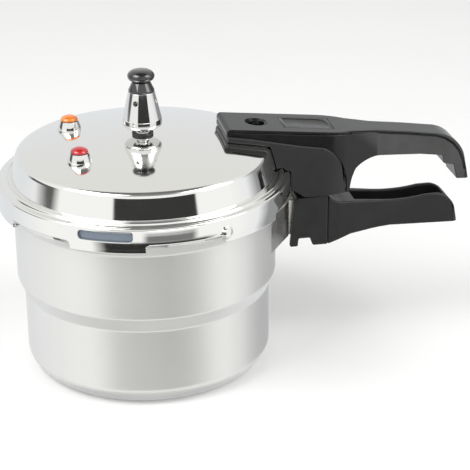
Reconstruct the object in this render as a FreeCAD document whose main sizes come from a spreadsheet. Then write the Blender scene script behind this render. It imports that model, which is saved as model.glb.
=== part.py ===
"""Stovetop pressure cooker with a bayonet lid, as a parametric assembly.

Frame: origin at the centre of the flat base, +Z up, +X along the two handles, millimetres.
Each piece is one object of the document; its Label is the name of the file it is written to.
"""
import FreeCAD, Part
import Sketcher
import math
import os

V = FreeCAD.Vector

# Driving dimensions: alias, value and what it measures.
SIZES = [
    # the vessel
    ("pot_radius", 92, "outside of the upper wall"),
    ("pot_wall", 2, "sheet thickness of the vessel"),
    ("pot_height", 126, "base to the top of the rim"),
    ("base_thickness", 4, "thickness of the flat base"),
    ("base_corner", 16.5, "outside radius between base and wall"),
    ("step_height", 57.6, "height of the foot of the shallow step"),
    ("step_rise", 10.9, "height of the step itself"),
    ("step_depth", 4.7, "how far the lower wall stands in"),
    ("flare_height", 8, "height of the flare under the flange"),
    ("flange_reach", 4, "flange beyond the wall, between lugs"),
    ("flange_thickness", 3, "thickness of the flange and its lugs"),
    ("mouth_flare", 1, "how far the mouth opens past the bore"),
    ("lug_reach", 8, "lugs beyond the wall"),
    ("lug_count", 6, "bayonet lugs on pot and lid"),
    ("pot_lug_span", 28.5, "degrees of each pot lug"),
    ("lid_lug_span", 29, "degrees of each lid lug"),
    ("lug_turn", 7.7, "degrees from the handle axis to the first lug"),
    # the lid
    ("lid_wall", 2, "sheet thickness of the lid"),
    ("skirt_clearance", 0.5, "between pot lugs and lid skirt"),
    ("lug_clearance", 0.5, "between flange underside and lid lugs"),
    ("lid_lug_thickness", 1.6, "thickness of the turned-in lugs"),
    ("lid_lug_reach", 3.8, "how far the lid lugs turn in"),
    ("notch_height", 6.1, "height of the notches between lid lugs"),
    ("gasket_clearance", 0.4, "between rim and gasket"),
    ("gasket_height", 10.4, "height of the sealing gasket"),
    ("gasket_width", 6.6, "radial width of the sealing gasket"),
    ("gasket_lip", 2.2, "thickness of the gasket's lips"),
    ("shoulder_round", 2, "outside radius between skirt and shoulder"),
    ("bead_height", 2.2, "height of the raised bead on the shoulder"),
    ("band_height", 18.4, "shoulder to crown edge"),
    ("band_inset", 0.3, "foot of the band inside the mouth"),
    ("band_taper", 4.4, "how far the band leans in"),
    ("dome_rise", 9.8, "crown edge to the top of the dome"),
    ("window_span", 21, "degrees of the gasket window"),
    ("window_height", 6.5, "height of the gasket window"),
    ("window_turn", 247.2, "degrees to the middle of the first window"),
    ("stop_turn", 53.7, "degrees to the first stamped stop on the skirt"),
    ("stop_span", 3.6, "degrees of each stamped stop"),
    ("stop_rise", 1.3, "how far the stamped stops stand out"),
    ("fit_gap", 0.3, "running gap between parts that move apart"),
    ("seat_gap", 0.1, "gap round screws and studs in their holes"),
    # the vent and its weight
    ("vent_bore", 1.5, "radius of the steam passage"),
    ("vent_neck", 3.7, "radius of the vent pipe"),
    ("vent_rise", 19, "vent pipe above the dome"),
    ("vent_thread", 4.8, "radius of the thread through the lid"),
    ("washer_radius", 7.4, "radius of the vent washer"),
    ("washer_height", 1.5, "thickness of the vent washer"),
    ("weight_lift", 5.6, "underside of the weight above the dome"),
    ("weight_radius", 13.7, "widest radius of the weight"),
    ("weight_foot", 8.6, "radius of the weight's underside"),
    ("weight_top", 9.1, "radius at the top of the cone"),
    ("weight_height", 25.6, "height of the metal weight"),
    ("weight_bore", 4.2, "radius of the bore that fits over the pipe"),
    ("steam_hole", 1.8, "radius of the four steam holes"),
    ("collar_height", 6.8, "height of the black collar"),
    ("collar_top", 6.3, "upper radius of the collar"),
    ("knob_radius", 9.5, "radius of the knob"),
    ("knob_height", 8.7, "height of the knob"),
    ("knob_round", 4.4, "radius of the knob's edge"),
    # the two safety valves
    ("valve_offset", 58, "valves from the lid's axis"),
    ("valve_turn", 35, "degrees of each valve either side of the back"),
    ("bell_radius", 8.5, "foot radius of the valve housing"),
    ("bell_top", 6.1, "top radius of the valve housing"),
    ("bell_height", 6.3, "height of the valve housing"),
    ("cap_height", 3.6, "height of the coloured cap"),
    ("valve_thread", 5, "radius of the valve thread"),
    ("spring_wire", 0.7, "wire diameter of a valve spring"),
    # the float valve under the handle
    ("float_offset", 80, "float valve from the lid's axis"),
    ("float_pin", 2.2, "radius of the float pin"),
    ("float_travel", 3.7, "rise of the float pin"),
    ("float_thread", 4, "radius of the float valve bushing"),
    ("port_radius", 6, "radius of the port in the handle"),
    ("port_rim", 7.75, "radius of the shallow rim round the port"),
    # the handles
    ("lid_handle_reach", 131.8, "lid handle beyond the skirt"),
    ("lid_handle_width", 39, "width of the lid handle's cover"),
    ("grip_width", 25, "width of the lid handle's grip"),
    ("saddle_width", 41, "width of the lid handle's saddle"),
    ("panel_width", 22, "width of the blank panel"),
    ("panel_depth", 0.8, "depth of the panel's recess"),
    ("tongue_width", 16, "width of the steel tongue in the lid handle"),
    ("tongue_thickness", 3, "thickness of the steel tongue"),
    ("screw_radius", 2.5, "radius of the handle screws"),
    ("screw_head", 4.5, "radius of the screw heads"),
    ("head_height", 3, "height of the screw heads"),
    ("pot_handle_reach", 125, "pot handle beyond the skirt"),
    ("pot_grip_width", 24, "width of the pot handle's grip"),
    ("pot_collar_width", 31, "width of the pot handle's collar"),
    ("channel_width", 17, "width of the channel in the grip"),
    ("bracket_thickness", 2, "sheet thickness of the pot bracket"),
    ("bracket_width", 22, "width of the pot bracket's channel"),
    ("bracket_height", 26, "height of the pot bracket"),
    ("bracket_drop", 26.5, "middle of the pot bracket below the rim"),
]

doc = FreeCAD.newDocument("PressureCooker")
sheet = doc.addObject("Spreadsheet::Sheet", "Sizes")
for row, (alias, value, note) in enumerate(SIZES, start=1):
    sheet.set(f"A{row}", alias)
    sheet.set(f"B{row}", str(value))
    sheet.set(f"C{row}", note)
    sheet.setAlias(f"B{row}", alias)
doc.recompute()


class Dim:
    """A size with its present value and the sheet expression that it follows."""

    def __init__(self, value, text):
        self.value = value
        self.text = text

    def __add__(self, other):
        other = as_dim(other)
        return Dim(self.value + other.value, f"({self.text} + {other.text})")

    def __radd__(self, other):
        return as_dim(other) + self

    def __sub__(self, other):
        other = as_dim(other)
        return Dim(self.value - other.value, f"({self.text} - {other.text})")

    def __rsub__(self, other):
        return as_dim(other) - self

    def __mul__(self, other):
        other = as_dim(other)
        return Dim(self.value * other.value, f"({self.text} * {other.text})")

    def __rmul__(self, other):
        return as_dim(other) * self

    def __truediv__(self, other):
        other = as_dim(other)
        return Dim(self.value / other.value, f"({self.text} / {other.text})")

    def __rtruediv__(self, other):
        return as_dim(other) / self

    def __neg__(self):
        return as_dim(0) - self


def as_dim(size):
    return size if isinstance(size, Dim) else Dim(float(size), f"({float(size)})")


def size(alias):
    return Dim(float(sheet.get(alias)), f"Sizes.{alias}")


def bind(obj, path, length):
    """Makes a property of an object follow a size, where the size comes from the sheet."""
    length = as_dim(length)
    if "Sizes." in length.text:
        obj.setExpression(path, length.text)


def sagitta_radius(chord, rise):
    """Radius of the arc that spans a half chord with the given rise."""
    return (chord * chord + rise * rise) / (2 * rise)


# ---- sketches and features -------------------------------------------------------------

def side_geometry(start, end, radius, turn):
    """A straight side, or an arc that turns left or right on its way from start to end."""
    if radius is None:
        return Part.LineSegment(start, end), (1, 2)
    chord = end - start
    middle = (start + end) * 0.5
    left = V(-chord.y, chord.x, 0).normalize()
    away = math.sqrt(max(radius * radius - chord.Length ** 2 / 4, 0))
    centre = middle + left * away * (1 if turn == "left" else -1)
    first, last = (start, end) if turn == "left" else (end, start)
    low = math.atan2(first.y - centre.y, first.x - centre.x)
    high = math.atan2(last.y - centre.y, last.x - centre.x)
    if high < low:
        high += 2 * math.pi
    circle = Part.Circle(centre, V(0, 0, 1), radius)
    return Part.ArcOfCircle(circle, low, high), (1, 2) if turn == "left" else (2, 1)


def add_loop(sketch, corners):
    """Adds a closed outline. A corner is (across, up), with (radius, turn) where the side
    that arrives at it is an arc."""
    first = sketch.GeometryCount
    places = [(as_dim(corner[0]), as_dim(corner[1])) for corner in corners]
    points = [V(across.value, up.value, 0) for across, up in places]
    ends = []
    rules = []
    for index, corner in enumerate(corners):
        radius, turn = (as_dim(corner[2]), corner[3]) if len(corner) == 4 else (None, None)
        reach = radius.value if radius else None
        geometry, order = side_geometry(points[index - 1], points[index], reach, turn)
        sketch.addGeometry(geometry)
        ends.append(order)
        if radius:
            rules.append((Sketcher.Constraint("Radius", first + index, reach), radius))
    for index, (across, up) in enumerate(places):
        after = (index + 1) % len(corners)
        here = (first + index, ends[index][1])
        joint = Sketcher.Constraint("Coincident", *here, first + after, ends[after][0])
        rules.append((joint, None))
        rules.append((Sketcher.Constraint("DistanceX", *here, across.value), across))
        rules.append((Sketcher.Constraint("DistanceY", *here, up.value), up))
    for rule, length in rules:
        number = sketch.addConstraint(rule)
        if length:
            bind(sketch, f"Constraints[{number}]", length)


def add_circle(sketch, across, up, radius):
    across, up, radius = as_dim(across), as_dim(up), as_dim(radius)
    number = sketch.addGeometry(Part.Circle(V(across.value, up.value, 0), V(0, 0, 1), radius.value))
    for kind, place, length in (("DistanceX", 3, across), ("DistanceY", 3, up)):
        rule = sketch.addConstraint(Sketcher.Constraint(kind, number, place, length.value))
        bind(sketch, f"Constraints[{rule}]", length)
    rule = sketch.addConstraint(Sketcher.Constraint("Radius", number, radius.value))
    bind(sketch, f"Constraints[{rule}]", radius)


def draw(body, role, name, loops=(), circles=(), turn=0, shift=(0, 0)):
    """A sketch on one of the body's origin planes, turned about the vertical axis."""
    sketch = body.newObject("Sketcher::SketchObject", f"{body.Name}_{name}")
    plane = [item for item in body.Origin.OriginFeatures if item.Role == role][0]
    sketch.AttachmentSupport = [(plane, "")]
    sketch.MapMode = "FlatFace"
    axis = V(0, 0, 1) if role == "XY_Plane" else V(0, 1, 0)
    turn = as_dim(turn)
    base = V(as_dim(shift[0]).value, as_dim(shift[1]).value, 0)
    sketch.AttachmentOffset = FreeCAD.Placement(base, FreeCAD.Rotation(axis, turn.value))
    if turn.value:
        bind(sketch, "AttachmentOffset.Rotation.Angle", turn)
    bind(sketch, "AttachmentOffset.Base.x", shift[0])
    bind(sketch, "AttachmentOffset.Base.y", shift[1])
    for corners in loops:
        add_loop(sketch, corners)
    for circle in circles:
        add_circle(sketch, *circle)
    return sketch


def new_body(name):
    body = doc.addObject("PartDesign::Body", name)
    body.Label = name
    return body


def turned(name, *loops):
    """A body of revolution about its own vertical axis."""
    body = new_body(name)
    sketch = draw(body, "XZ_Plane", "profile", loops)
    feature = body.newObject("PartDesign::Revolution", f"{name}_revolution")
    feature.Profile = sketch
    feature.ReferenceAxis = (sketch, ["V_Axis"])
    feature.Angle = 360
    doc.recompute()
    return body


def padded(name, role, length, loops=(), circles=(), **options):
    """A body made by padding a sketch evenly to both sides of its plane."""
    body = new_body(name)
    sketch = draw(body, role, "profile", loops, circles, **options)
    feature = body.newObject("PartDesign::Pad", f"{name}_pad")
    feature.Profile = sketch
    feature.SideType = "Symmetric"
    feature.Length = as_dim(length).value
    bind(feature, "Length", length)
    doc.recompute()
    return body


def removed(body, feature):
    """Checks that a cutting feature took something away."""
    before = body.Tip.BaseFeature.Shape.Volume if body.Tip.BaseFeature else 0
    doc.recompute()
    if feature.Shape.isNull() or feature.Shape.Volume >= before - 1e-6:
        raise RuntimeError(f"{feature.Name} removes nothing")
    return feature


def pocket(body, role, name, length, loops=(), circles=(), side="Symmetric", **options):
    """A cut from the sketch's plane; a length of None goes right through."""
    sketch = draw(body, role, name, loops, circles, **options)
    feature = body.newObject("PartDesign::Pocket", f"{body.Name}_{name}_cut")
    feature.Profile = sketch
    feature.SideType = side
    if length is None:
        feature.Type = "ThroughAll"
    else:
        feature.Length = as_dim(length).value
        bind(feature, "Length", length)
    return removed(body, feature)


def groove(body, name, corners, span, turn=0, count=None, centre=0):
    """A turned cut over some degrees, centred on a bearing, repeated round the axis."""
    sketch = draw(body, "XZ_Plane", name, [corners], turn=turn, shift=(centre, 0))
    feature = body.newObject("PartDesign::Groove", f"{body.Name}_{name}_groove")
    feature.Profile = sketch
    feature.ReferenceAxis = (sketch, ["V_Axis"])
    feature.Midplane = True
    feature.Angle = as_dim(span).value
    bind(feature, "Angle", span)
    removed(body, feature)
    return around(body, name, feature, count) if count else feature


def raised(body, name, corners, span, turn, count):
    """A turned addition over some degrees, centred on a bearing, repeated round the axis."""
    sketch = draw(body, "XZ_Plane", name, [corners], turn=turn)
    feature = body.newObject("PartDesign::Revolution", f"{body.Name}_{name}_revolution")
    feature.Profile = sketch
    feature.ReferenceAxis = (sketch, ["V_Axis"])
    feature.Midplane = True
    feature.Angle = as_dim(span).value
    bind(feature, "Angle", span)
    doc.recompute()
    return around(body, name, feature, count)


def around(body, name, feature, count):
    """Repeats a feature evenly about the body's vertical axis."""
    pattern = body.newObject("PartDesign::PolarPattern", f"{body.Name}_{name}_pattern")
    axis = [item for item in body.Origin.OriginFeatures if item.Role == "Z_Axis"][0]
    pattern.Originals = [feature]
    pattern.Axis = (axis, [""])
    pattern.Angle = 360
    pattern.Occurrences = round(as_dim(count).value)
    bind(pattern, "Occurrences", count)
    body.Tip = pattern
    doc.recompute()
    return pattern


def hexagon(radius):
    """Corners of a hexagon with the given radius across its corners."""
    half = radius * 0.5
    rise = radius * 0.8660254
    return [(radius, 0), (half, rise), (-half, rise), (-radius, 0), (-half, -rise), (half, -rise)]


def rectangle(low_across, low_up, high_across, high_up):
    return [(low_across, low_up), (high_across, low_up), (high_across, high_up), (low_across, high_up)]


def placed(obj, across=0, away=0, up=0, rotation=FreeCAD.Rotation()):
    """Moves a finished piece to its place in the assembly."""
    place = [as_dim(step) for step in (across, away, up)]
    obj.Placement = FreeCAD.Placement(V(*[step.value for step in place]), rotation)
    for letter, step in zip("xyz", place):
        bind(obj, f"Placement.Base.{letter}", step)
    return obj


def cut(name, base, tool):
    """What is left of one object when another is taken out of it."""
    result = doc.addObject("Part::Cut", name)
    result.Base = base
    result.Tool = tool
    result.Label = name
    return result


def group(name, members):
    """Identical fasteners as one node of separate solids."""
    result = doc.addObject("Part::Compound", name)
    result.Links = members
    result.Label = name
    return result


# ---- heights and radii shared by several pieces ----------------------------------------

fit_gap = size("fit_gap")
seat_gap = size("seat_gap")
pot_radius = size("pot_radius")
pot_bore = pot_radius - size("pot_wall")
rim_top = size("pot_height")
mouth = pot_bore + size("mouth_flare") + size("pot_wall")
flange_underside = rim_top - size("flange_thickness")
flare_foot = flange_underside - size("flare_height")
lug_radius = pot_radius + size("lug_reach")

skirt_inside = lug_radius + size("skirt_clearance")
skirt_radius = skirt_inside + size("lid_wall")
lid_lug_top = flange_underside - size("lug_clearance")
skirt_foot = lid_lug_top - size("lid_lug_thickness")
shoulder_underside = rim_top + size("gasket_clearance") + size("gasket_height")
shoulder_top = shoulder_underside + size("lid_wall")
band_foot = mouth - size("band_inset")
crown_radius = band_foot - size("band_taper")
crown_edge = shoulder_top + size("band_height")
dome_top = crown_edge + size("dome_rise")
dome_radius = sagitta_radius(crown_radius, size("dome_rise"))
pitch = 360 / size("lug_count")


def lid_outline(grow):
    """Outside of the lid from skirt to dome, moved out by a clearance."""
    bead = size("bead_height")
    crown = crown_radius + grow * 0.5
    top = dome_top + grow
    return [
        (skirt_radius + grow, shoulder_top - size("shoulder_round")),
        (skirt_radius - size("shoulder_round"), shoulder_top + grow, size("shoulder_round") + grow, "left"),
        (skirt_radius - 3.9, shoulder_top + grow),
        (skirt_radius - 4.9, shoulder_top + bead + grow),
        (skirt_radius - 7.1, shoulder_top + bead + grow),
        (skirt_radius - 8.1, shoulder_top + bead * 0.6 + grow),
        (band_foot + grow, shoulder_top + bead * 0.6 + grow),
        (crown, crown_edge + grow),
        (0, top, sagitta_radius(crown, size("dome_rise")), "left"),
    ]


# ---- the vessel ------------------------------------------------------------------------

def make_pot_body():
    lower = pot_radius - size("step_depth")
    wall = size("pot_wall")
    corner = size("base_corner")
    step_foot = size("step_height")
    step_head = step_foot + size("step_rise")
    body = turned("pot_body", [
        (0, 0),
        (lower - corner, 0),
        (lower, corner, corner, "left"),
        (lower, step_foot),
        (pot_radius, step_head),
        (pot_radius, flare_foot),
        (pot_radius + size("flange_reach"), flange_underside),
        (lug_radius, flange_underside),
        (lug_radius, rim_top),
        (mouth, rim_top),
        (mouth, flange_underside),
        (pot_bore, flare_foot),
        (pot_bore, step_head + 1),
        (lower - wall, step_foot + 1),
        (lower - wall, corner + size("base_thickness") - wall),
        (lower - corner, size("base_thickness"), corner - wall, "right"),
        (0, size("base_thickness")),
    ])
    outside = lug_radius + 1
    groove(body, "lug_gap", rectangle(pot_radius + size("flange_reach"), flange_underside - 1,
           outside, rim_top + 1), pitch - size("pot_lug_span"), size("lug_turn") + pitch / 2,
           size("lug_count"))
    return body


def make_pot_bracket():
    """Sheet bracket: two flanks welded to the wall that close to a channel inside the handle."""
    sheet_thickness = size("bracket_thickness")
    half = size("bracket_width") / 2
    neck = skirt_radius - 1.5
    wing = pot_radius * 0.78
    wing_half = pot_radius * 0.62

    def plan(inset, end):
        return [
            (wing - 8, -(wing_half - inset)),
            (wing, -(wing_half - inset)),
            (neck - inset, -(half + 2 - inset)),
            (neck, -(half - inset)),
            (end, -(half - inset)),
            (end, half - inset),
            (neck, half - inset),
            (neck - inset, half + 2 - inset),
            (wing, wing_half - inset),
            (wing - 8, wing_half - inset),
        ]

    end = handle_x(BRACKET_END)
    shell = padded("pot_bracket_blank", "XY_Plane", size("bracket_height"), [plan(0, end)])
    pocket(shell, "XY_Plane", "hollow", None, [plan(sheet_thickness, end - sheet_thickness)])
    pocket(shell, "XZ_Plane", "step_down", None,
           [rectangle(handle_x(BRACKET_STEP), BRACKET_TOP_END, end + 5, size("bracket_height"))])
    cross_hole(shell, COLLAR_SCREW, 0)
    cross_hole(shell, GRIP_SCREW, 0)
    placed(shell, 0, 0, bracket_middle)
    wall_solid = turned("pot_wall_envelope", rectangle(0, 0, pot_radius, rim_top))
    return cut("pot_handle_bracket", shell, wall_solid)


def handle_x(offset):
    return skirt_radius + offset


POT_GRIP_SPLIT = 27
BRACKET_END = 39
BRACKET_STEP = 23
BRACKET_TOP_END = 6
bracket_middle = rim_top - size("bracket_drop")


def make_pot_collar():
    """Moulded flame guard between the wall and the grip."""
    body = padded("pot_handle_collar", "XZ_Plane", size("pot_collar_width"), [[
        (handle_x(-0.8), rim_top - 48),
        (handle_x(5), rim_top - 48),
        (handle_x(5.6), rim_top - 42),
        (handle_x(14), rim_top - 42),
        (handle_x(16), rim_top - 48),
        (handle_x(POT_GRIP_SPLIT), rim_top - 48),
        (handle_x(POT_GRIP_SPLIT), rim_top - 10.5),
        (handle_x(26), rim_top - 9.3),
        (handle_x(4), rim_top - 10.4),
        (handle_x(2), rim_top - 14),
    ]])
    bracket_room(body, handle_x(-5), handle_x(POT_GRIP_SPLIT + 1), size("bracket_height") / 2)
    cross_hole(body, COLLAR_SCREW, bracket_middle)
    return body


def bracket_room(body, low, high, above):
    """The slot in the moulding that the bracket's channel slides into, open below."""
    top = bracket_middle + above
    pocket(body, "XZ_Plane", "bracket_room", size("bracket_width"),
           [rectangle(low, rim_top - 60, high, top)])


def make_pot_grip():
    """Grip with an open channel on its upper side and a downturned end."""
    reach = size("pot_handle_reach")
    body = padded("pot_handle_grip", "XZ_Plane", size("pot_collar_width"), [[
        (handle_x(POT_GRIP_SPLIT), rim_top - 48),
        (handle_x(44), rim_top - 42),
        (handle_x(60), rim_top - 40),
        (handle_x(74), rim_top - 38.8),
        (handle_x(reach), rim_top - 40.3),
        (handle_x(reach - 2), rim_top - 31.4),
        (handle_x(reach - 16), rim_top - 17.3, 16, "left"),
        (handle_x(reach - 25), rim_top - 17.4),
        (handle_x(66), rim_top - 18.7, 120, "right"),
        (handle_x(40), rim_top - 16.4),
        (handle_x(POT_GRIP_SPLIT), rim_top - 10.5, 16, "right"),
    ]])
    half_root = size("pot_collar_width") / 2
    half_grip = size("pot_grip_width") / 2
    end = handle_x(reach)
    outline = [
        (handle_x(POT_GRIP_SPLIT) - 1, -half_root),
        (handle_x(POT_GRIP_SPLIT) + 8, -half_root),
        (handle_x(66), -half_grip),
        (end - 3, -half_grip),
        (end + 0.5, -half_grip + 4, 4.5, "left"),
        (end + 0.5, half_grip - 4),
        (end - 3, half_grip, 4.5, "left"),
        (handle_x(66), half_grip),
        (handle_x(POT_GRIP_SPLIT) + 8, half_root),
        (handle_x(POT_GRIP_SPLIT) - 1, half_root),
    ]
    trim_outside(body, outline, handle_x(POT_GRIP_SPLIT) - 5, end + 20, half_root + 10)
    pocket(body, "XZ_Plane", "channel", size("channel_width"), [[
        (handle_x(48), rim_top - 34),
        (handle_x(reach - 10), rim_top - 33),
        (handle_x(reach - 10), rim_top),
        (handle_x(48), rim_top),
    ]])
    bracket_room(body, handle_x(POT_GRIP_SPLIT - 1), handle_x(BRACKET_END), BRACKET_TOP_END)
    cross_hole(body, GRIP_SCREW, bracket_middle)
    return body


def trim_outside(body, outline, low, high, half_width):
    """Cuts away everything outside a plan outline."""
    frame = rectangle(low, -half_width, high, half_width)
    return pocket(body, "XY_Plane", "plan", None, [frame, outline])


# ---- the lid ---------------------------------------------------------------------------

def make_lid_envelope(name, grow):
    """Everything inside the lid's outer surface, moved out by a clearance."""
    return turned(name, [(0, flare_foot), (skirt_radius + grow, flare_foot)] + lid_outline(grow))


def make_lid_shell():
    wall = size("lid_wall")
    inner_crown = crown_radius - wall
    lug_inside = skirt_inside - size("lid_lug_reach")
    body = turned("lid_shell", [(skirt_radius, skirt_foot)] + lid_outline(0) + [
        (0, dome_top - wall),
        (inner_crown, crown_edge - wall, sagitta_radius(inner_crown, size("dome_rise")), "right"),
        (band_foot - wall, shoulder_underside),
        (skirt_inside, shoulder_underside),
        (skirt_inside, lid_lug_top),
        (lug_inside, lid_lug_top),
        (lug_inside, skirt_foot),
    ])
    notch_top = skirt_foot + size("notch_height")
    groove(body, "notch", rectangle(lug_inside - 1, skirt_foot - 1, skirt_radius + 1, notch_top),
           pitch - size("lid_lug_span"), size("lug_turn") + pitch / 2, size("lug_count"))
    window_top = shoulder_underside - 0.8
    groove(body, "window", rectangle(skirt_inside - 0.5, window_top - size("window_height"),
           skirt_radius + 1, window_top), size("window_span"), size("window_turn"), 2)
    middle = skirt_foot + 7.5
    raised(body, "stop", rectangle(skirt_radius - 1, middle - 4, skirt_radius + size("stop_rise"),
           middle + 4), size("stop_span"), size("stop_turn"), 3)
    drill(body, "vent_hole", 0, 0, size("vent_thread") + seat_gap)
    for side in (-1, 1):
        drill(body, "red_hole" if side > 0 else "orange_hole", size("valve_offset"),
              180 + side * size("valve_turn"), size("valve_thread") + seat_gap)
    drill(body, "float_hole", size("float_offset"), 0, size("float_thread") + seat_gap)
    return body


def drill(body, name, offset, bearing, radius):
    """A vertical hole right through, at some distance and bearing from the body's axis."""
    return pocket(body, "XY_Plane", name, None, circles=[(offset, 0, radius)], turn=bearing)


def make_gasket():
    """Ring of C section, open towards the inside of the pot."""
    top = shoulder_underside
    foot = rim_top + size("gasket_clearance")
    outer = skirt_inside - 0.4
    inner = outer - size("gasket_width")
    lip = size("gasket_lip")
    return turned("sealing_gasket", [
        (inner, foot),
        (outer - 1, foot),
        (outer, foot + 1, 1, "left"),
        (outer, top - 1),
        (outer - 1, top, 1, "left"),
        (inner, top),
        (inner, top - lip),
        (outer - lip, top - lip),
        (outer - lip, foot + lip),
        (inner, foot + lip),
    ])


SEAM_FOOT = 39.5


def handle_seam():
    """Joint line between the lid handle's cover and its saddle, from the neck inwards."""
    return [
        (handle_x(SEAM_FOOT), lid_handle_foot),
        (handle_x(SEAM_FOOT), shoulder_top - 14.8),
        (handle_x(31), shoulder_top + 8.4, 36, "left"),
        (handle_x(21), shoulder_top + 15.2, 22.5, "left"),
        (handle_x(5.5), shoulder_top + 17.8),
        (handle_x(-30.5), dome_top - 2.5),
        (handle_x(-47), dome_top + 0.3),
    ]


lid_handle_foot = rim_top - 8.5


def make_lid_handle_cover():
    reach = size("lid_handle_reach")
    body = padded("lid_handle_cover", "XZ_Plane", size("lid_handle_width"), [handle_seam() + [
        (handle_x(-47), dome_top + 3),
        (handle_x(-44), dome_top + 5, 3.2, "right"),
        (handle_x(42.5), dome_top - 4),
        (handle_x(86.5), rim_top + 31.6),
        (handle_x(reach - 24), rim_top + 28.4),
        (handle_x(reach - 3.5), rim_top + 9, 23, "right"),
        (handle_x(reach), rim_top - 7),
        (handle_x(reach - 9), rim_top - 6.4),
        (handle_x(reach - 11.5), rim_top + 4.5),
        (handle_x(reach - 19), rim_top + 6),
        (handle_x(reach - 20.5), rim_top + 12.3),
        (handle_x(reach - 37), rim_top + 14.6),
        (handle_x(65), rim_top + 16),
        (handle_x(47), rim_top + 8.5, 26, "left"),
        (handle_x(42.2), rim_top - 8.5, 40, "left"),
    ]])
    root = size("lid_handle_width") / 2
    grip = size("grip_width") / 2
    end = handle_x(reach)
    outline = [
        (handle_x(-47) - 0.2, -root + 1.5),
        (handle_x(-45.7), -root, 1.5, "left"),
        (handle_x(18), -root),
        (handle_x(44), -grip - 2.5, 60, "left"),
        (handle_x(63), -grip),
        (end - 3, -grip + 0.5),
        (end + 0.5, -grip + 4, 3.5, "left"),
        (end + 0.5, grip - 4),
        (end - 3, grip - 0.5, 3.5, "left"),
        (handle_x(63), grip),
        (handle_x(44), grip + 2.5),
        (handle_x(18), root, 60, "left"),
        (handle_x(-45.7), root),
        (handle_x(-47) - 0.2, root - 1.5, 1.5, "left"),
    ]
    trim_outside(body, outline, handle_x(-60), end + 20, root + 10)
    drill(body, "port", size("float_offset"), 0, size("port_radius"))
    port_top = dome_top + 5 - (size("float_offset") - handle_x(-44)) * top_slope
    groove_at(body, "port_rim", size("float_offset"), size("port_rim"), port_top - 1, port_top + 4)
    pocket(body, "XZ_Plane", "panel_recess", size("panel_width"), [panel_outline(0, 4)])
    for number, offset in enumerate(SCREW_OFFSETS):
        groove_at(body, f"screw_bore{number}", handle_x(offset), size("screw_radius") + seat_gap,
                  lid_handle_foot, screw_tip + 0.5)
    return body


SCREW_OFFSETS = (8, 25)
screw_seat = lid_handle_foot + 5
screw_tip = dome_top - 9.5
top_slope = 9 / 86.5


def groove_at(body, name, across, radius, low, high):
    """A blind vertical hole on the handle's axis, turned between two heights."""
    sketch = draw(body, "XZ_Plane", name, [rectangle(0, low, radius, high)], shift=(across, 0))
    feature = body.newObject("PartDesign::Groove", f"{body.Name}_{name}_groove")
    feature.Profile = sketch
    feature.ReferenceAxis = (sketch, ["V_Axis"])
    feature.Angle = 360
    return removed(body, feature)


def panel_outline(inset, height):
    """Side view of the panel's recess in the sloping top; a negative height gives its floor."""
    start = -4.5 + inset
    end = 31.5 - inset
    depth = size("panel_depth")
    start_top = dome_top + 5 - top_slope * (start + 44)
    end_top = dome_top + 5 - top_slope * (end + 44)
    return [
        (handle_x(start), start_top - depth),
        (handle_x(end), end_top - depth),
        (handle_x(end), end_top + height),
        (handle_x(start), start_top + height),
    ]


def make_panel():
    """Blank panel that lies in the recess in the handle's top."""
    return padded("handle_panel", "XZ_Plane", size("panel_width") - 0.4, [panel_outline(0.3, -0.15)])


def make_saddle(envelope):
    """Lower half of the lid handle, shaped to the lid under it."""
    body = padded("saddle_blank", "XZ_Plane", size("saddle_width"), [handle_seam() + [
        (handle_x(-47), flange_underside),
        (handle_x(1), flange_underside),
        (handle_x(8.5), lid_handle_foot),
    ]])
    half = size("saddle_width") / 2
    outline = [
        (handle_x(-47) - 0.2, -half + 2.4),
        (handle_x(-44.8), -half, 2.4, "left"),
        (handle_x(22), -half),
        (handle_x(40), -half + 4, 50, "left"),
        (handle_x(40), half - 4),
        (handle_x(22), half, 50, "left"),
        (handle_x(-44.8), half),
        (handle_x(-47) - 0.2, half - 2.4, 2.4, "left"),
    ]
    trim_outside(body, outline, handle_x(-60), handle_x(60), half + 10)
    pocket(body, "XZ_Plane", "tongue_room", size("tongue_width"),
           [rectangle(handle_x(-30), tongue_low, tongue_end, tongue_high)])
    drill(body, "port", size("float_offset"), 0, size("port_rim"))
    for number, offset in enumerate(SCREW_OFFSETS):
        groove_at(body, f"screw_bore{number}", handle_x(offset), size("screw_radius") + seat_gap,
                  lid_handle_foot - 1, screw_tip + 10)
        groove_at(body, f"screw_sink{number}", handle_x(offset), size("screw_head") + seat_gap,
                  lid_handle_foot - 5, screw_seat)
    return cut("lid_handle_saddle", body, envelope)


tongue_low = shoulder_top + 4.5
tongue_high = tongue_low + size("tongue_thickness")
tongue_end = handle_x(29.5)


def make_tongue(envelope):
    """Steel tongue welded to the band of the lid, which carries the handle."""
    body = padded("tongue_blank", "XZ_Plane", size("tongue_width"),
                  [rectangle(crown_radius - 4, tongue_low, tongue_end, tongue_high)])
    for number, offset in enumerate(SCREW_OFFSETS):
        drill(body, f"screw_hole{number}", handle_x(offset), 0, size("screw_radius") + seat_gap)
    return cut("lid_handle_tongue", body, envelope)


def make_lid_handle_screws():
    """Long screws that clamp the saddle, the tongue and the cover together from below."""
    members = []
    for number, offset in enumerate(SCREW_OFFSETS):
        head = size("screw_head")
        screw = turned(f"lid_handle_screw{number}", [
            (0, -size("head_height")),
            (head, -size("head_height")),
            (head, 0),
            (size("screw_radius"), 0),
            (size("screw_radius"), screw_tip - screw_seat),
            (0, screw_tip - screw_seat),
        ])
        members.append(placed(screw, handle_x(offset), 0, screw_seat))
    return group("lid_handle_screws", members)


# ---- the vent and its weight -----------------------------------------------------------

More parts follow.
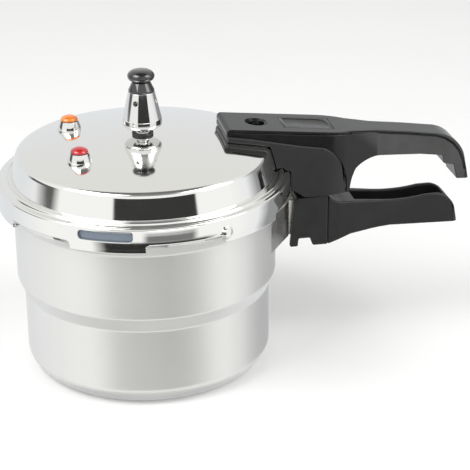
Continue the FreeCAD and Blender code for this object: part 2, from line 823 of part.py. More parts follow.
def make_vent():
    wall = size("lid_wall")
    washer_top = dome_top + size("washer_height")
    inside = dome_top - wall
    thread = size("vent_thread")
    pipe = turned("vent_pipe", [
        (size("vent_bore"), inside - 15),
        (thread, inside - 15),
        (thread, washer_top),
        (5.5, washer_top),
        (5.5, washer_top + 1.2),
        (size("vent_neck"), washer_top + 1.8),
        (size("vent_neck"), dome_top + size("vent_rise") - 3),
        (size("vent_neck") - 0.8, dome_top + size("vent_rise")),
        (size("vent_bore"), dome_top + size("vent_rise")),
    ])
    washer = turned("vent_washer", rectangle(thread, dome_top, size("washer_radius"), washer_top))
    seal = turned("vent_seal", rectangle(thread, inside - 1.6, 8.5, inside - 0.1))
    nut = padded("vent_nut", "XY_Plane", 4, [hexagon(9)], [(0, 0, thread)])
    placed(nut, 0, 0, inside - 3.6)
    cap_top = inside - 5.6
    cage = turned("vent_cage", [
        (thread, cap_top - 1),
        (9.5, cap_top - 1),
        (9.5, cap_top - 12),
        (0, cap_top - 12),
        (0, cap_top - 13),
        (10.5, cap_top - 13),
        (10.5, cap_top),
        (thread, cap_top),
    ])
    slot = pocket(cage, "XZ_Plane", "slot", 3, [rectangle(9, cap_top - 11, 12, cap_top - 3)])
    around(cage, "slot", slot, 6)
    return [pipe, washer, seal, nut, cage]


def make_weight():
    foot = dome_top + size("weight_lift")
    top = foot + size("weight_height")
    chamber = dome_top + size("vent_rise") + 8.5
    wide = size("weight_radius")
    stud = 2
    body = turned("regulator_weight", [
        (size("weight_bore"), foot),
        (size("weight_foot"), foot),
        (wide, foot + 5.2, 5.4, "left"),
        (size("weight_top"), top),
        (stud, top),
        (stud, chamber),
        (size("weight_bore"), chamber),
    ])
    for number, bearing in enumerate((-32, 58)):
        pocket(body, "XZ_Plane", f"steam_hole{number}", 2 * wide + 4,
               circles=[(0, chamber - 2.5, size("steam_hole"))], turn=bearing)
    collar_top = top + size("collar_height")
    collar = turned("regulator_collar", [
        (stud, top),
        (size("weight_top"), top),
        (size("collar_top"), collar_top),
        (stud, collar_top),
    ])
    rise = size("knob_height")
    wide_knob = size("knob_radius") - size("knob_round")
    knob = turned("regulator_knob", [
        (stud, collar_top),
        (wide_knob + 2, collar_top),
        (wide_knob + 1.2, collar_top + rise - 0.6, size("knob_round"), "left"),
        (0, collar_top + rise, sagitta_radius(wide_knob + 1.2, as_dim(0.6)), "left"),
        (0, collar_top + rise - 3),
        (stud, collar_top + rise - 3),
    ])
    pipe_top = dome_top + size("vent_rise")
    needle = turned("regulator_needle", [
        (0, pipe_top - 5),
        (size("vent_bore") - 0.5, pipe_top - 3.5),
        (size("vent_bore") - 0.5, pipe_top + fit_gap),
        (3, pipe_top + fit_gap),
        (3, pipe_top + 2.5),
        (stud, pipe_top + 3.5),
        (stud, collar_top + rise - 3),
        (0, collar_top + rise - 3),
    ])
    return [body, collar, knob, needle]


# ---- the two spring-loaded safety valves -----------------------------------------------

def make_valve(colour, side, envelope):
    """One valve: housing, seal and nut on the lid, and a sprung plunger with its cap."""
    offset = size("valve_offset")
    radians = math.radians((180 + side * size("valve_turn")).value)
    bearing = (180 + side * size("valve_turn")).text
    across = Dim(offset.value * math.cos(radians), f"({offset.text} * cos({bearing}))")
    away = Dim(offset.value * math.sin(radians), f"({offset.text} * sin({bearing}))")
    deck = dome_top - offset * offset / (2 * dome_radius)
    thread = size("valve_thread")
    bell_top = deck + size("bell_height")
    cap_foot = bell_top + fit_gap
    chamber = thread - 1.2
    seat = deck - 10.5
    stem = 1.3
    foot = size("bell_radius")
    flange = turned(f"{colour}_bell_blank", [
        (thread, deck - 3),
        (foot, deck - 3),
        (foot, deck + 0.8),
        (foot - 0.4, deck + 0.8),
        (size("bell_top"), bell_top),
        (stem + fit_gap, bell_top),
        (stem + fit_gap, bell_top - 1.2),
        (thread, bell_top - 1.2),
    ])
    placed(flange, across, away)
    bell = cut(f"{colour}_valve_bell", flange, envelope)
    body = turned(f"{colour}_valve_body", [
        (2.2, seat - 1.5),
        (thread, seat - 1.5),
        (thread, bell_top - 1.2),
        (chamber, bell_top - 1.2),
        (chamber, seat),
        (2.2, seat),
    ])
    seal = turned(f"{colour}_valve_seal", rectangle(thread, deck - 6.4, 8, deck - 4.6))
    nut = padded(f"{colour}_valve_nut", "XY_Plane", 3, [hexagon(9)], [(0, 0, thread)])
    plunger = turned(f"{colour}_valve_plunger", [
        (0, seat + fit_gap),
        (chamber - fit_gap, seat + fit_gap),
        (chamber - fit_gap, seat + 1.8),
        (stem, seat + 1.8),
        (stem, cap_foot + 1.5),
        (0, cap_foot + 1.5),
    ])
    cap_round = 2.5
    crown_round = sagitta_radius(size("bell_top") - cap_round, size("cap_height") - 3.1)
    cap = turned(f"{colour}_valve_cap", [
        (stem, cap_foot),
        (size("bell_top"), cap_foot),
        (size("bell_top") - 0.1, cap_foot + 1),
        (size("bell_top") - cap_round, cap_foot + 3.1, cap_round + 0.3, "left"),
        (0, cap_foot + size("cap_height"), crown_round, "left"),
        (0, cap_foot + 1.5),
        (stem, cap_foot + 1.5),
    ])
    spring = make_spring(f"{colour}_valve_spring", stem + fit_gap + size("spring_wire") / 2 + 0.2,
                         seat + 1.8, bell_top - 1.2)
    for piece in (body, seal, plunger, cap, spring):
        placed(piece, across, away)
    placed(nut, across, away, deck - 7.9)
    return [bell, body, seal, nut, plunger, cap, spring]


def make_spring(name, radius, low, high):
    """An open helical spring between two heights."""
    wire = size("spring_wire") / 2
    body = new_body(name)
    sketch = draw(body, "XZ_Plane", "wire", circles=[(radius, low + wire + 0.1, wire)])
    coil = body.newObject("PartDesign::AdditiveHelix", f"{name}_coil")
    coil.Profile = sketch
    coil.ReferenceAxis = (sketch, ["V_Axis"])
    coil.Mode = "pitch-height-angle"
    height = high - low - size("spring_wire") - 0.2
    coil.Pitch = height.value / 5
    coil.Height = height.value
    bind(coil, "Pitch", height / 5)
    bind(coil, "Height", height)
    doc.recompute()
    return body


# ---- the float valve under the handle's port -------------------------------------------

def make_float_valve():
    offset = size("float_offset")
    thread = size("float_thread")
    bore = size("float_pin") + fit_gap
    flange = 6.2
    wall = size("lid_wall")
    rise = size("dome_rise")
    inner_radius = sagitta_radius(crown_radius - wall, rise)
    deck = dome_top - (offset - 6) * (offset - 6) / (2 * dome_radius)
    drop = (offset + flange) * (offset + flange) / (2 * inner_radius - rise)
    under = dome_top - wall - drop
    bushing = turned("float_valve_bushing", [
        (bore, under - 5),
        (flange, under - 5),
        (flange, under - 3.5),
        (thread, under - 3.5),
        (thread, deck + 3.2),
        (bore, deck + 3.2),
    ])
    seal = turned("float_valve_seal", rectangle(thread, under - 3.5, flange, under - seat_gap))
    nut = padded("float_valve_nut", "XY_Plane", 2.4, [hexagon(5.6)], [(0, 0, thread)])
    placed(nut, offset, 0, deck + 1.4)
    travel = size("float_travel")
    foot = under - 5 - fit_gap - travel
    pin = turned("float_valve_pin", [
        (0, foot - 1.5),
        (6, foot - 1.5),
        (6, foot),
        (size("float_pin"), foot),
        (size("float_pin"), deck + 3.2 + fit_gap),
        (3.2, deck + 3.2 + fit_gap),
        (3.2, deck + 4.6),
        (size("float_pin"), deck + 5.4),
        (0, deck + 5.8),
    ])
    for piece in (bushing, seal, pin):
        placed(piece, offset)
    return [bushing, seal, nut, pin]


# ---- fasteners of the pot handle -------------------------------------------------------

COLLAR_SCREW = 18
GRIP_SCREW = 31


def cross_hole(body, offset, height):
    """Hole for a cross screw of the pot handle, from its middle plane out to the far side."""
    circle = (handle_x(offset), height, size("screw_radius") + seat_gap)
    pocket(body, "XZ_Plane", f"cross_hole{offset}", None, circles=[circle], side="One side")


def make_pot_handle_fasteners():
    """Cross screws from the far side through the moulding and the bracket, with their nuts."""
    outside = size("pot_collar_width") / 2
    flank = size("bracket_width") / 2 - size("bracket_thickness")
    head = size("screw_head")
    shank = size("screw_radius")
    screws = []
    nuts = []
    washers = []
    for number, offset in enumerate((COLLAR_SCREW, GRIP_SCREW)):
        screw = turned(f"pot_handle_screw{number}", [
            (0, -(outside + size("head_height") - 0.6)),
            (head - 1.2, -(outside + size("head_height") - 0.6)),
            (head, -outside),
            (shank, -outside),
            (shank, -(flank - 6)),
            (0, -(flank - 6)),
        ])
        screws.append(laid(screw, handle_x(offset), 0))
        washer = turned(f"pot_handle_washer{number}", rectangle(shank, -flank, 5, 1 - flank))
        washers.append(laid(washer, handle_x(offset), 0))
        nut = padded(f"pot_handle_nut{number}", "XY_Plane", 4, [hexagon(4.6)], [(0, 0, shank)])
        nuts.append(laid(nut, handle_x(offset), flank - 3))
    return [group("pot_handle_screws", screws), group("pot_handle_washers", washers),
            group("pot_handle_nuts", nuts)]


def laid(body, across, away):
    """Lays a turned piece on its side along Y, at the height of the pot handle's bracket."""
    return placed(body, across, away, bracket_middle, FreeCAD.Rotation(V(1, 0, 0), 90))


def check_and_export(nodes):
    doc.recompute()
    for obj in doc.Objects:
        if "Invalid" in obj.State or "Error" in obj.State:
            raise RuntimeError(f"{obj.Name} failed: {obj.State}")
    for obj in nodes:
        if obj.Shape.isNull() or not obj.Shape.isValid():
            raise RuntimeError(f"{obj.Label} has no valid shape")
    os.makedirs("parts", exist_ok=True)
    for obj in nodes:
        obj.Shape.exportStep(f"parts/{obj.Label}.step")
        box = obj.Shape.BoundBox
        print(f"{obj.Label}: {len(obj.Shape.Solids)} solid(s), {obj.Shape.Volume:.0f} mm3, "
              f"x {box.XMin:.1f}..{box.XMax:.1f} z {box.ZMin:.1f}..{box.ZMax:.1f}")


lid_envelope = make_lid_envelope("lid_envelope", as_dim(0))
lid_clear_envelope = make_lid_envelope("lid_clear_envelope", seat_gap)
NODES = [make_pot_body(), make_pot_bracket(), make_pot_collar(), make_pot_grip()]
NODES += make_pot_handle_fasteners()
NODES += [make_lid_shell(), make_gasket(), make_lid_handle_cover(), make_panel()]
NODES += [make_saddle(lid_clear_envelope), make_tongue(lid_envelope), make_lid_handle_screws()]
NODES += make_vent() + make_weight()
NODES += make_valve("red", 1, lid_envelope) + make_valve("orange", -1, lid_envelope)
NODES += make_float_valve()
check_and_export(NODES)
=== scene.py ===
"""Looks of the stovetop pressure cooker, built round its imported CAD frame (metres, +Z up)."""
import math

import bmesh
import bpy
from mathutils import Matrix, Vector


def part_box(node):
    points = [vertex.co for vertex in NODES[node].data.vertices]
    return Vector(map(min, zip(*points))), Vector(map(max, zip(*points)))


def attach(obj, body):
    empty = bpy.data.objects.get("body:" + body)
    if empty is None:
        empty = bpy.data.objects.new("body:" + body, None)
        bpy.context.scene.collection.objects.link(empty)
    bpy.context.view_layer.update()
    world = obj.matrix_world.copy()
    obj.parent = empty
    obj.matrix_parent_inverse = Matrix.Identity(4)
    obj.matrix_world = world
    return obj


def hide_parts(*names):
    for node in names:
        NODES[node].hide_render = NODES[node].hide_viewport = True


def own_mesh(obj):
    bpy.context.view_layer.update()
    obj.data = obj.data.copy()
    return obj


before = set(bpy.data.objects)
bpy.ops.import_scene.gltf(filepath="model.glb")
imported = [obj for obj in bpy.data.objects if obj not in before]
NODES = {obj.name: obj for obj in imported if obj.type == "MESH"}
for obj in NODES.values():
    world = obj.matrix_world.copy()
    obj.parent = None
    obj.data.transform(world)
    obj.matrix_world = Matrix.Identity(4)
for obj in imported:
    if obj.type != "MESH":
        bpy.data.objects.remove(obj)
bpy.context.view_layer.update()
MM = 0.001

# ---- sizes, in metres and degrees ------------------------------------------------------

pot_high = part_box("pot_body")[1]
lid_low, lid_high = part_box("lid_shell")
weight_low, weight_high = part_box("regulator_weight")
collar_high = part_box("regulator_collar")[1]
knob_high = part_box("regulator_knob")[1]

# vessel
SHEET_WALL = 2 * MM
LUG_REACH = 8 * MM
STEP_DEPTH = 4.7 * MM
STEP_LOW = 57.6 * MM
STEP_HIGH = 68.5 * MM
BASE_CORNER = 16.5 * MM
FLANGE_THICKNESS = 3 * MM
FLARE_HEIGHT = 8 * MM
LUG_COUNT = 6
LUG_TURN = 7.7
LUG_GAP_SPAN = 31.5
pitch = 360 / LUG_COUNT
rim_top = pot_high.z
lug_radius = pot_high.x
pot_radius = lug_radius - LUG_REACH

# lid
dome_top = lid_high.z
skirt_foot = lid_low.z
skirt_radius = 102.5 * MM
shoulder_top = dome_top - 28.2 * MM
crown_edge = dome_top - 9.8 * MM
crown_radius = 88.3 * MM
band_foot = 92.7 * MM
LID_LUG_REACH = 3.8 * MM
LID_LUG_HEIGHT = 1.6 * MM
NOTCH_SPAN = 31
NOTCH_HEIGHT = 6.1 * MM
WINDOW_TURN = 247.2
WINDOW_SPAN = 21
WINDOW_HEIGHT = 6.5 * MM
WINDOW_CORNER = 3.2 * MM
STOP_TURNS = (53.7, 173.7, 293.7)
STOP_HEIGHT = 7.5 * MM
STOP_HALF_SPAN = 3.8 * MM
STOP_HALF_RISE = 5 * MM
STOP_DEPTH = 1.1 * MM
STOP_EDGE = 2.2
SKIRT_BARREL = 0.26 * MM

# weight and valves
CHAMBER_ABOVE_VENT = 8.5 * MM
WEIGHT_BORE = 4.2 * MM
NEEDLE_BORE = 2 * MM
VENT_HOLE_TURNS = (-122, 58, -32, 148)
VENT_HOLE_RADIUS = 1.8 * MM
BELL_HEIGHT = 6.3 * MM
BELL_TOP_RADIUS = 6.5 * MM
BELL_RIM = 1.2 * MM
BELL_INSET = 0.35 * MM

# handles: the top face falls by TOP_FALL over TOP_RUN
TOP_FALL = 9
TOP_RUN = 86.5
PLATE_START = (-4.47, 41.89)
PLATE_LENGTH = 35.94 * MM
PLATE_HALF_WIDTH = 10.98 * MM
PLATE_THICKNESS = 0.78 * MM
PLATE_DEPTH = 0.41 * MM
FIELD_HALF_WIDTH = 9.3 * MM
FIELD_NEAR = 2.5 * MM
FIELD_FAR = 33.5 * MM
GROOVE_TOP = 1.2
GROOVE_FOOT = 2.3
GROOVE_CORE = 0.93
# middle line of the handle's top face: beyond the skirt and above the rim, in millimetres
TOP_LINE = [(-40, 45.6), (0, 41.4), (42.5, 37), (64, 34.3), (86.5, 31.6), (107.8, 28.4),
            (114.5, 26.1), (120.6, 21.8), (125.2, 16), (128.3, 9), (130.3, 1)]
# the grip's sides lean in from a start beyond the skirt and a foot above the rim
LEAN = 0.2
LEAN_START = 38 * MM
LEAN_RUN = 22 * MM
LEAN_FOOT = 14 * MM
LEAN_HEIGHT = 20 * MM


# ---- materials -------------------------------------------------------------------------

def new_material(name, colour, roughness, metallic=0.0):
    """A principled material with its even values on the shader's own sockets."""
    material = bpy.data.materials.new(name)
    material.use_nodes = True
    shader = material.node_tree.nodes["Principled BSDF"]
    shader.inputs["Base Color"].default_value = (*colour, 1)
    shader.inputs["Roughness"].default_value = roughness
    shader.inputs["Metallic"].default_value = metallic
    return material, material.node_tree, shader


def noise(tree, scale, detail=2.0, stretch=(1, 1, 1)):
    """Noise in the object's own space, stretched along its axes."""
    place = tree.nodes.new("ShaderNodeTexCoord")
    mapping = tree.nodes.new("ShaderNodeMapping")
    mapping.inputs["Scale"].default_value = stretch
    texture = tree.nodes.new("ShaderNodeTexNoise")
    texture.inputs["Scale"].default_value = scale
    texture.inputs["Detail"].default_value = detail
    tree.links.new(place.outputs["Object"], mapping.inputs["Vector"])
    tree.links.new(mapping.outputs["Vector"], texture.inputs["Vector"])
    return texture.outputs["Fac"]


def span(tree, source, low, high):
    """Maps a 0..1 pattern onto a range of values."""
    node = tree.nodes.new("ShaderNodeMapRange")
    node.inputs["From Min"].default_value = 0.3
    node.inputs["From Max"].default_value = 0.7
    node.inputs["To Min"].default_value = low
    node.inputs["To Max"].default_value = high
    tree.links.new(source, node.inputs["Value"])
    return node.outputs["Result"]


def tint(tree, source, dark, light):
    """Maps a 0..1 pattern onto a pair of colours."""
    node = tree.nodes.new("ShaderNodeMix")
    node.data_type = "RGBA"
    node.inputs["A"].default_value = (*dark, 1)
    node.inputs["B"].default_value = (*light, 1)
    tree.links.new(span(tree, source, 0, 1), node.inputs["Factor"])
    return node.outputs["Result"]


def bump(tree, shader, source, distance, strength=1.0):
    """Raises a shader's surface by a pattern."""
    node = tree.nodes.new("ShaderNodeBump")
    node.inputs["Strength"].default_value = strength
    node.inputs["Distance"].default_value = distance
    tree.links.new(source, node.inputs["Height"])
    tree.links.new(node.outputs["Normal"], shader.inputs["Normal"])


def around_axis(tree, turns, rows):
    """Noise that wraps round the vertical axis, by bearing and height."""
    place = tree.nodes.new("ShaderNodeTexCoord")
    split = tree.nodes.new("ShaderNodeSeparateXYZ")
    bearing = tree.nodes.new("ShaderNodeMath")
    bearing.operation = "ARCTAN2"
    join = tree.nodes.new("ShaderNodeCombineXYZ")
    mapping = tree.nodes.new("ShaderNodeMapping")
    mapping.inputs["Scale"].default_value = (turns, rows, 1)
    tree.links.new(place.outputs["Object"], split.inputs["Vector"])
    tree.links.new(split.outputs["Y"], bearing.inputs[0])
    tree.links.new(split.outputs["X"], bearing.inputs[1])
    tree.links.new(bearing.outputs["Value"], join.inputs["X"])
    tree.links.new(split.outputs["Z"], join.inputs["Y"])
    tree.links.new(join.outputs["Vector"], mapping.inputs["Vector"])
    texture = tree.nodes.new("ShaderNodeTexNoise")
    texture.inputs["Scale"].default_value = 1.0
    texture.inputs["Detail"].default_value = 3.0
    tree.links.new(mapping.outputs["Vector"], texture.inputs["Vector"])
    return texture.outputs["Fac"]


def satin_vessel():
    """Spun aluminium: fine rings round the wall and broad soft bands down it."""
    material, tree, shader = new_material("satin_vessel", (0.86, 0.86, 0.84), 0.40, 0.8)
    rings = around_axis(tree, 1.2, 5200)
    bands = around_axis(tree, 2.2, 1.5)
    tree.links.new(tint(tree, bands, (0.81, 0.81, 0.79), (0.87, 0.87, 0.85)),
                   shader.inputs["Base Color"])
    tree.links.new(span(tree, rings, 0.30, 0.42), shader.inputs["Roughness"])
    shader.inputs["Anisotropic"].default_value = 0.55
    tangent = tree.nodes.new("ShaderNodeTangent")
    tangent.direction_type = "RADIAL"
    tangent.axis = "Z"
    tree.links.new(tangent.outputs["Tangent"], shader.inputs["Tangent"])
    bump(tree, shader, rings, 0.02 * MM, 0.35)
    return material


def mirror_steel():
    """Polished sheet with faint smears in its gloss."""
    material, tree, shader = new_material("mirror_steel", (0.90, 0.90, 0.885), 0.045, 1.0)
    smears = noise(tree, 38, 4.0)
    tree.links.new(span(tree, smears, 0.045, 0.085), shader.inputs["Roughness"])
    bump(tree, shader, noise(tree, 60, 1.0), 0.03 * MM, 0.25)
    return material


def turned_chrome():
    """Bright plating over faint turning marks."""
    material, tree, shader = new_material("turned_chrome", (0.83, 0.83, 0.82), 0.06, 1.0)
    marks = noise(tree, 900, 2.0, (0.02, 0.02, 3))
    tree.links.new(span(tree, marks, 0.045, 0.10), shader.inputs["Roughness"])
    return material


def satin_sheet():
    """Pale rolled sheet with a soft gloss."""
    material, tree, shader = new_material("satin_sheet", (0.80, 0.785, 0.75), 0.3, 1.0)
    tree.links.new(span(tree, noise(tree, 90, 3.0), 0.24, 0.36), shader.inputs["Roughness"])
    return material


def plain_steel():
    """Dull steel of the small parts inside."""
    material, tree, shader = new_material("plain_steel", (0.60, 0.60, 0.60), 0.3, 1.0)
    tree.links.new(span(tree, noise(tree, 300, 3.0), 0.22, 0.38), shader.inputs["Roughness"])
    return material


def phenolic(name="black_phenolic", level=0.005, gloss=0.17, reflect=0.5):
    """Black thermoset moulding: satin gloss, faint mottling and a fine moulded skin."""
    material, tree, shader = new_material(name, (level, level, level * 1.02), gloss)
    mottle = noise(tree, 55, 5.0)
    tree.links.new(tint(tree, mottle, (level * 0.85,) * 3, (level * 1.2,) * 3),
                   shader.inputs["Base Color"])
    tree.links.new(span(tree, noise(tree, 130, 4.0), gloss * 0.85, gloss * 1.2),
                   shader.inputs["Roughness"])
    shader.inputs["Specular IOR Level"].default_value = reflect
    bump(tree, shader, noise(tree, 1400, 2.0), 0.01 * MM, 0.3)
    return material


def rubber(name, colour):
    """Dull rubber with a fine grain."""
    material, tree, shader = new_material(name, colour, 0.55)
    tree.links.new(span(tree, noise(tree, 200, 3.0), 0.45, 0.62), shader.inputs["Roughness"])
    bump(tree, shader, noise(tree, 900, 2.0), 0.05 * MM, 0.4)
    return material


def gloss_cap(name, colour, glow):
    """Moulded transparent-looking cap: deep colour under a clear gloss."""
    material, tree, shader = new_material(name, colour, 0.08)
    depth = noise(tree, 260, 2.0)
    tree.links.new(tint(tree, depth, colour, glow), shader.inputs["Base Color"])
    shader.inputs["Coat Weight"].default_value = 1.0
    shader.inputs["Coat Roughness"].default_value = 0.03
    return material


VESSEL = satin_vessel()
MIRROR = mirror_steel()
CHROME = turned_chrome()
STEEL = plain_steel()
BLACK = phenolic(reflect=0.42)
MATT_BLACK = phenolic("matt_phenolic", 0.011, 0.36)
PANEL = phenolic("black_panel", 0.009, 0.26)
SHEET = satin_sheet()
GASKET = rubber("gasket_rubber", (0.20, 0.245, 0.30))
SEAL = rubber("seal_rubber", (0.03, 0.03, 0.03))
KNOB_BLACK = gloss_cap("knob_black", (0.008, 0.008, 0.008), (0.014, 0.014, 0.014))
RED = gloss_cap("red_cap", (0.38, 0.006, 0.008), (0.62, 0.02, 0.03))
ORANGE = gloss_cap("orange_cap", (0.72, 0.15, 0.008), (0.95, 0.30, 0.03))


# ---- meshes ----------------------------------------------------------------------------

def add_object(name, mesh, material, smooth_angle=32):
    """Links a mesh as a piece, shaded smooth apart from its real edges."""
    piece = bpy.data.objects.new(name, mesh)
    bpy.context.scene.collection.objects.link(piece)
    piece.data.materials.clear()
    piece.data.materials.append(material)
    shade(piece, smooth_angle)
    return piece


def shade(piece, smooth_angle=32):
    """Shades a piece smooth, with sharp edges where its faces turn by more than an angle."""
    piece.data.shade_smooth()
    piece.data.set_sharp_from_angle(angle=math.radians(smooth_angle))


def stand_for(piece, body, slot, *nodes):
    """Makes a piece ride on a body in place of CAD nodes; the slot is not used."""
    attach(piece, body)
    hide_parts(*nodes)
    return piece


def rounded(corners, steps=6):
    """Closed outline from (across, up, radius) corners, each rounded by a tangent curve."""
    points = []
    count = len(corners)
    for index, (across, up, radius) in enumerate(corners):
        here = Vector((across, up))
        if radius <= 0:
            points.append(here)
            continue
        before = Vector(corners[index - 1][:2]) - here
        after = Vector(corners[(index + 1) % count][:2]) - here
        half = before.angle(after) / 2
        reach = min(radius / math.tan(half), before.length * 0.49, after.length * 0.49)
        start = here + before.normalized() * reach
        end = here + after.normalized() * reach
        for step in range(steps + 1):
            along = step / steps
            points.append(start * (1 - along) ** 2 + here * 2 * along * (1 - along)
                          + end * along ** 2)
    return points


def dome_points(edge_radius, edge_height, top_height, steps=14):
    """Points of a spherical dome from its edge in to the axis, without the edge itself."""
    rise = top_height - edge_height
    ball = (edge_radius ** 2 + rise ** 2) / (2 * rise)
    points = []
    for step in range(1, steps + 1):
        across = edge_radius * (1 - step / steps)
        points.append((across, top_height - ball + math.sqrt(ball ** 2 - across ** 2), 0))
    return points


def lathe(name, outline, material, centre=(0, 0), steps=240, smooth_angle=32):
    """A closed solid of revolution; the outline runs round the section once."""
    mesh = bpy.data.meshes.new(name)
    work = bmesh.new()
    rings = []
    for step in range(steps):
        bearing = 2 * math.pi * step / steps
        rings.append([work.verts.new((centre[0] + point[0] * math.cos(bearing),
                                      centre[1] + point[0] * math.sin(bearing), point[1]))
                      for point in outline])
    for step in range(steps):
        here, after = rings[step], rings[(step + 1) % steps]
        for index in range(len(outline)):
            following = (index + 1) % len(outline)
            work.faces.new((here[index], after[index], after[following], here[following]))
    bmesh.ops.remove_doubles(work, verts=work.verts, dist=0.002 * MM)
    bmesh.ops.recalc_face_normals(work, faces=work.faces)
    work.to_mesh(mesh)
    work.free()
    return add_object(name, mesh, material, smooth_angle)


def radial_block(work, near, far, low, high, bearing, degrees, radius, steps=5):
    """A cutter with rounded corners, pushed outwards through a round wall."""
    half = math.radians(degrees) / 2 * far
    corners = [(-half, low, radius), (half, low, radius), (half, high, radius),
               (-half, high, radius)]
    outline = rounded(corners, steps)
    dense = []
    for index, point in enumerate(outline):
        after = outline[(index + 1) % len(outline)]
        pieces = max(1, int((after - point).length / (3 * MM)))
        dense += [point.lerp(after, part / pieces) for part in range(pieces)]
    shells = []
    for reach in (near, far):
        shells.append([work.verts.new((reach * math.cos(math.radians(bearing) + point.x / far),
                                       reach * math.sin(math.radians(bearing) + point.x / far),
                                       point.y)) for point in dense])
    count = len(dense)
    for index in range(count):
        after = (index + 1) % count
        work.faces.new((shells[0][index], shells[0][after], shells[1][after], shells[1][index]))
    work.faces.new(shells[0][::-1])
    work.faces.new(shells[1])


def apply_modifiers(piece):
    """Replaces a piece's mesh by what its modifiers make of it."""
    graph = bpy.context.evaluated_depsgraph_get()
    mesh = bpy.data.meshes.new_from_object(piece.evaluated_get(graph))
    piece.modifiers.clear()
    piece.data = mesh


def carve(piece, work, edge=0.0):
    """Cuts a bmesh of blocks out of a piece and softens the cut edges."""
    bmesh.ops.recalc_face_normals(work, faces=work.faces)
    mesh = bpy.data.meshes.new("cutter")
    work.to_mesh(mesh)
    work.free()
    cutter = bpy.data.objects.new("cutter", mesh)
    bpy.context.scene.collection.objects.link(cutter)
    cut = piece.modifiers.new("cut", "BOOLEAN")
    cut.object = cutter
    cut.solver = "EXACT"
    apply_modifiers(piece)
    bpy.data.objects.remove(cutter)
    if edge:
        soften = piece.modifiers.new("soften", "BEVEL")
        soften.width = edge
        soften.segments = 2
        soften.limit_method = "ANGLE"
        soften.angle_limit = math.radians(50)
        apply_modifiers(piece)
    shade(piece)


# ---- the vessel ------------------------------------------------------------------------

def build_vessel():
    """The vessel, with its step, its flare, its flange and the lugs round it."""
    lower = pot_radius - STEP_DEPTH
    wall = SHEET_WALL
    flange = rim_top - FLANGE_THICKNESS
    flare_foot = flange - FLARE_HEIGHT
    outline = rounded([
        (0, 0, 0),
        (lower - BASE_CORNER, 0, 0),
        (lower - 6 * MM, 1.2 * MM, 10 * MM),
        (lower, 10 * MM, 12 * MM),
        (lower, STEP_LOW, 5 * MM),
        (pot_radius, STEP_HIGH, 5 * MM),
        (pot_radius, flare_foot, 6 * MM),
        # flange, cut into lugs below
        (pot_radius + 4 * MM, flange, 2 * MM),
        (lug_radius, flange, 0.6 * MM),
        (lug_radius, rim_top, 1.2 * MM),
        (pot_radius + 1 * MM, rim_top, 0.8 * MM),
        (pot_radius + 1 * MM, flange, 2 * MM),
        # inside, down to the base
        (pot_radius - wall, flare_foot, 6 * MM),
        (pot_radius - wall, STEP_HIGH + 1 * MM, 8 * MM),
        (lower - wall, STEP_LOW + 1 * MM, 8 * MM),
        (lower - wall, 4 * MM, 14 * MM),
        (0, 4 * MM, 0),
    ], 8)
    piece = lathe("vessel", outline, VESSEL, steps=288)
    work = bmesh.new()
    for number in range(LUG_COUNT):
        radial_block(work, pot_radius + 4 * MM, lug_radius + 3 * MM, flange - 2 * MM,
                     rim_top + 4 * MM, LUG_TURN + pitch * (number + 0.5), LUG_GAP_SPAN, 0.5 * MM)
    carve(piece, work)
    return stand_for(piece, "pot", "brushed_vessel", "pot_body")


# ---- the lid ---------------------------------------------------------------------------

def stamped_bump(vertex, bearing):
    """How far a skirt vertex stands out at one of the stamped stops."""
    angle = math.atan2(vertex.co.y, vertex.co.x) - math.radians(bearing)
    angle = (angle + math.pi) % (2 * math.pi) - math.pi
    side = angle * skirt_radius / STOP_HALF_SPAN
    rise = (vertex.co.z - (skirt_foot + STOP_HEIGHT)) / STOP_HALF_RISE
    inwards = max(0.0, 1 - side * side - rise * rise)
    return STOP_DEPTH * min(1.0, inwards * STOP_EDGE)


